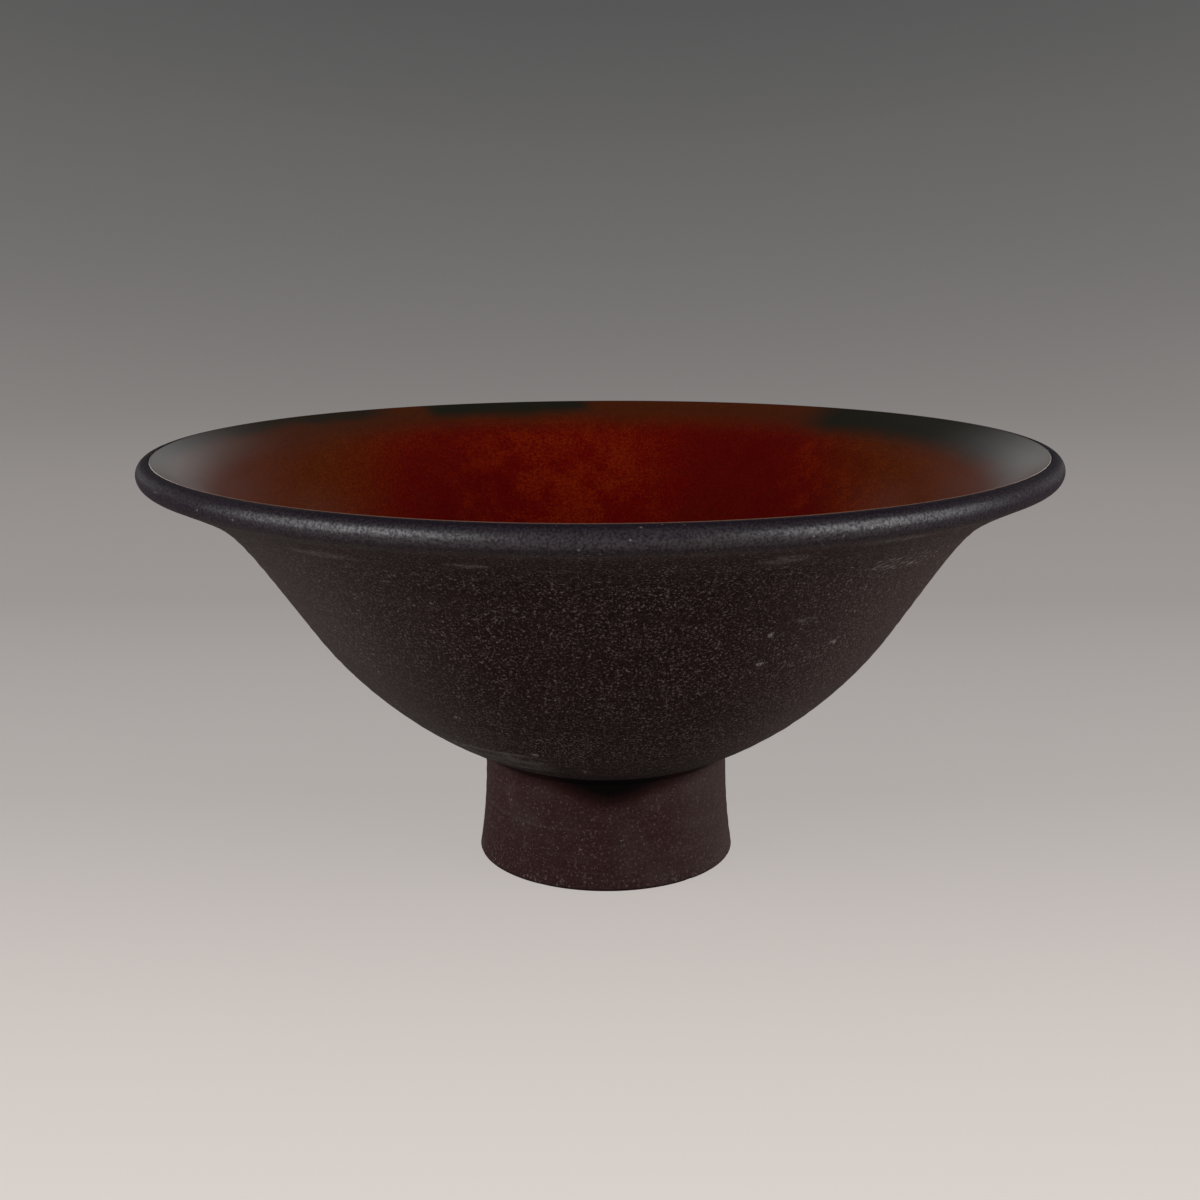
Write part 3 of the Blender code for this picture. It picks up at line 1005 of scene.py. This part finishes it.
class BOWL_OT_lute_foot(bpy.types.Operator):
    """Lay the bed of slip that joins foot and bowl"""

    bl_idname = "bowl.lute_foot"
    bl_label = "Lute the foot on"

    def execute(self, context):
        settings = context.scene.footed_bowl
        form, foot, marks = settings.form, settings.foot, settings.marks
        line, past = slip_line(form, foot)
        column = columns(FOOT_TURNS)
        chance = np.random.default_rng(marks.seed + 2)
        lags = chance.uniform(0.0, FULL_TURN, len(SLIP_WAVES))
        waves = np.array(SLIP_WAVES)
        uneven = (np.sin(column[:, None] * waves + lags) / np.sqrt(waves)).sum(axis=1)
        outer = grown(line[:, 0], foot.top_radius, foot.slip_bead)
        lift = SLIP_WAVE_HEIGHT * foot.slip_bead * outer[:, None] * uneven[None, :]
        surface = leaned(turned_surface(line, lift, column), form, marks)
        mesh = turned_mesh("slip_joint", surface, past[:, None], "ring")
        add_piece("slip_joint", mesh, slip_finish(settings.clay), "luting_slip")
        return {"FINISHED"}


class BOWL_OT_pour_glaze(bpy.types.Operator):
    """Line the bowl with glaze, out to a small bead on the rim"""

    bl_idname = "bowl.pour_glaze"
    bl_label = "Pour the glaze"

    def execute(self, context):
        settings = context.scene.footed_bowl
        form, marks = settings.form, settings.marks
        line, past = coat_line(form)
        column = columns(BOWL_TURNS)
        face = np.arange(len(line)) < GLAZE_POINTS
        inward = grown(past, GLAZE_LINES_START, LINES_FADE) * face
        lift = GLAZED_LINES * inward[:, None] * throwing_lines(marks, past, column)
        surface = leaned(turned_surface(line, lift, column), form, marks)
        mesh = turned_mesh("glaze_coat", surface, past[:, None], "solid")
        add_piece("glaze_coat", mesh, glaze_finish(settings.glaze), "glaze_lining")
        return {"FINISHED"}


# Stage

TABLE_POINTS = 60
CURVE_POINTS = 40
NEAR_AXIS = 1e-6  # stands in for a radius of 0
LIGHT_AIM = (0.0, 0.0, 0.06)

# Soft lights: name, setting with the power, bearing and elevation in degrees, distance, width and height
LIGHTS = (
    ("left_light", "side_power", -64, 17, 1.1, (1.30, 0.72)),
    ("right_light", "side_power", 72, 17, 1.1, (1.30, 0.72)),
    ("front_light", "front_power", 4, 20, 1.5, (1.2, 1.2)),
    ("back_light", "back_power", 180, 22, 2.0, (1.3, 1.3)),
    ("back_left_light", "corner_power", -135, 16, 1.6, (0.8, 0.8)),
    ("back_right_light", "corner_power", 135, 16, 1.6, (0.8, 0.8)),
    ("top_light", "top_power", 0, 80, 1.5, (1.0, 1.0)),
)


def sweep_line(stage):
    """From the axis along the table, up a quarter round and on to the sweep's top."""
    middle = np.array([stage.sweep_start, stage.sweep_radius])
    table = np.linspace([0.0, 0.0], [stage.sweep_start, 0.0], TABLE_POINTS)
    curve = arc(middle, stage.sweep_radius, -math.pi / 2, 0.0, CURVE_POINTS)
    top = [[stage.sweep_start + stage.sweep_radius, stage.sweep_height]]
    return np.concatenate([table, curve[1:], top])


def sweep_depth(stage, line, points):
    """Depth of each point: how far back it lies on the table, and past that the way up the curve as well."""
    on_table = np.minimum(1.0, stage.sweep_start / np.maximum(line[:, :1], NEAR_AXIS))
    up_curve = np.maximum(distances(line) - stage.sweep_start, 0.0)
    return points[..., 1] * on_table + up_curve[:, None]


def softbox(name, bearing, elevation, distance, size, watts):
    """A soft light of this width and height on a bearing, aimed at the middle of the bowl."""
    level = math.cos(elevation)
    away = np.array([math.sin(bearing) * level, -math.cos(bearing) * level, math.sin(elevation)])
    light = bpy.data.lights.new(name, "AREA")
    light.shape = "RECTANGLE"
    light.size, light.size_y = size
    light.energy = watts
    lamp = bpy.data.objects.new(name, light)
    lamp.location = np.array(LIGHT_AIM) + distance * away
    lamp.rotation_euler = (math.pi / 2 - elevation, 0.0, bearing)
    lamp.visible_camera = False
    bpy.context.scene.collection.objects.link(lamp)


def set_world(scene, strength):
    """Even white light from all round."""
    world = bpy.data.worlds.new("studio")
    world.use_nodes = True
    background = world.node_tree.nodes["Background"]
    background.inputs["Color"].default_value = (1.0, 1.0, 1.0, 1.0)
    background.inputs["Strength"].default_value = strength
    scene.world = world


def set_camera(scene, stage):
    """The camera in front of the bowl, which looks a little down."""
    camera = bpy.data.cameras.new("camera")
    camera.lens = stage.lens
    eye = bpy.data.objects.new("camera", camera)
    eye.location = stage.eye
    eye.rotation_euler = (math.pi / 2 - stage.pitch, 0.0, 0.0)
    scene.collection.objects.link(eye)
    scene.camera = eye


class BOWL_OT_set_stage(bpy.types.Operator):
    """Set the sweep, the soft lights and the camera"""

    bl_idname = "bowl.set_stage"
    bl_label = "Set the stage"

    def execute(self, context):
        scene = context.scene
        stage = scene.footed_bowl.stage
        line = sweep_line(stage)
        points = turned_surface(line, np.zeros((len(line), SWEEP_TURNS)), columns(SWEEP_TURNS))
        mesh = turned_mesh("sweep", points, sweep_depth(stage, line, points), "dish")
        mesh.materials.append(sweep_finish(stage))
        sweep = bpy.data.objects.new("sweep", mesh)
        scene.collection.objects.link(sweep)
        for name, setting, bearing, elevation, distance, size in LIGHTS:
            watts = getattr(stage, setting)
            softbox(name, math.radians(bearing), math.radians(elevation), distance, size, watts)
        set_world(scene, stage.world)
        set_camera(scene, stage)
        scene.view_settings.view_transform = "Standard"
        return {"FINISHED"}


# Add-on

PROPERTY_GROUPS = (BowlForm, FootForm, HandMarks, ClayColours, GlazeColours, StageForm, BowlSettings)
PIECES = (BOWL_OT_throw_bowl, BOWL_OT_turn_foot, BOWL_OT_lute_foot, BOWL_OT_pour_glaze)
OPERATORS = (*PIECES, BOWL_OT_set_stage)


class BOWL_PT_workshop(bpy.types.Panel):
    """Lists the steps in the order they are done, and the settings"""

    bl_idname = "BOWL_PT_workshop"
    bl_label = "Footed bowl"
    bl_space_type = "VIEW_3D"
    bl_region_type = "UI"
    bl_category = "Bowl"

    def draw(self, context):
        for operator in OPERATORS:
            self.layout.operator(operator.bl_idname)
        settings = context.scene.footed_bowl
        for part in settings.__annotations__:
            box = self.layout.box()
            group = getattr(settings, part)
            for name in group.__annotations__:
                box.prop(group, name)


CLASSES = (*PROPERTY_GROUPS, *OPERATORS, BOWL_PT_workshop)


def register():
    for cls in CLASSES:
        bpy.utils.register_class(cls)
    bpy.types.Scene.footed_bowl = PointerProperty(type=BowlSettings)


def unregister():
    del bpy.types.Scene.footed_bowl
    for cls in reversed(CLASSES):
        bpy.utils.unregister_class(cls)


def main():
    register()
    bpy.ops.bowl.throw_bowl()
    bpy.ops.bowl.turn_foot()
    bpy.ops.bowl.lute_foot()
    bpy.ops.bowl.pour_glaze()
    bpy.ops.bowl.set_stage()


if __name__ == "__main__":
    main()
